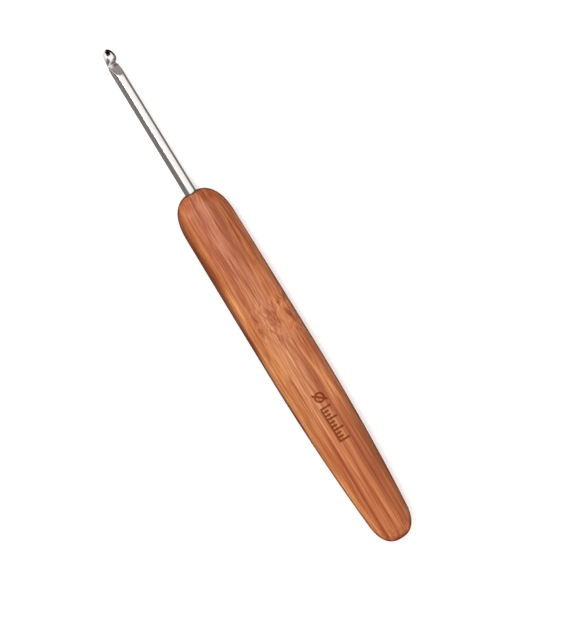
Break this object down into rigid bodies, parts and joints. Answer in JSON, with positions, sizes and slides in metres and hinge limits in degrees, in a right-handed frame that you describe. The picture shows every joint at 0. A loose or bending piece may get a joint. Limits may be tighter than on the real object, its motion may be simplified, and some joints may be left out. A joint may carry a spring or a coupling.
{
  "type": "crochet hook",
  "caption": "Crochet hook: a polished round steel shaft with a rounded head and a throat, bonded into a flat bamboo handle.",
  "frame": {"origin": "on the surface that the hook lies on, under the middle of its bounding box", "axes": "+X along the shaft towards the hook's tip, +Z out of the handle's flat thumb face, +Y to the left seen from the tail"},
  "size_m": [0.14, 0.0142, 0.008],
  "materials": {
    "polished_steel": "polished",
    "bamboo": "satin",
    "cured_glue": "gloss"
  },
  "bodies": {
    "root": {"hook_shaft": "polished_steel", "handle": "bamboo", "tang_adhesive": "cured_glue"}
  },
  "joints": []
}
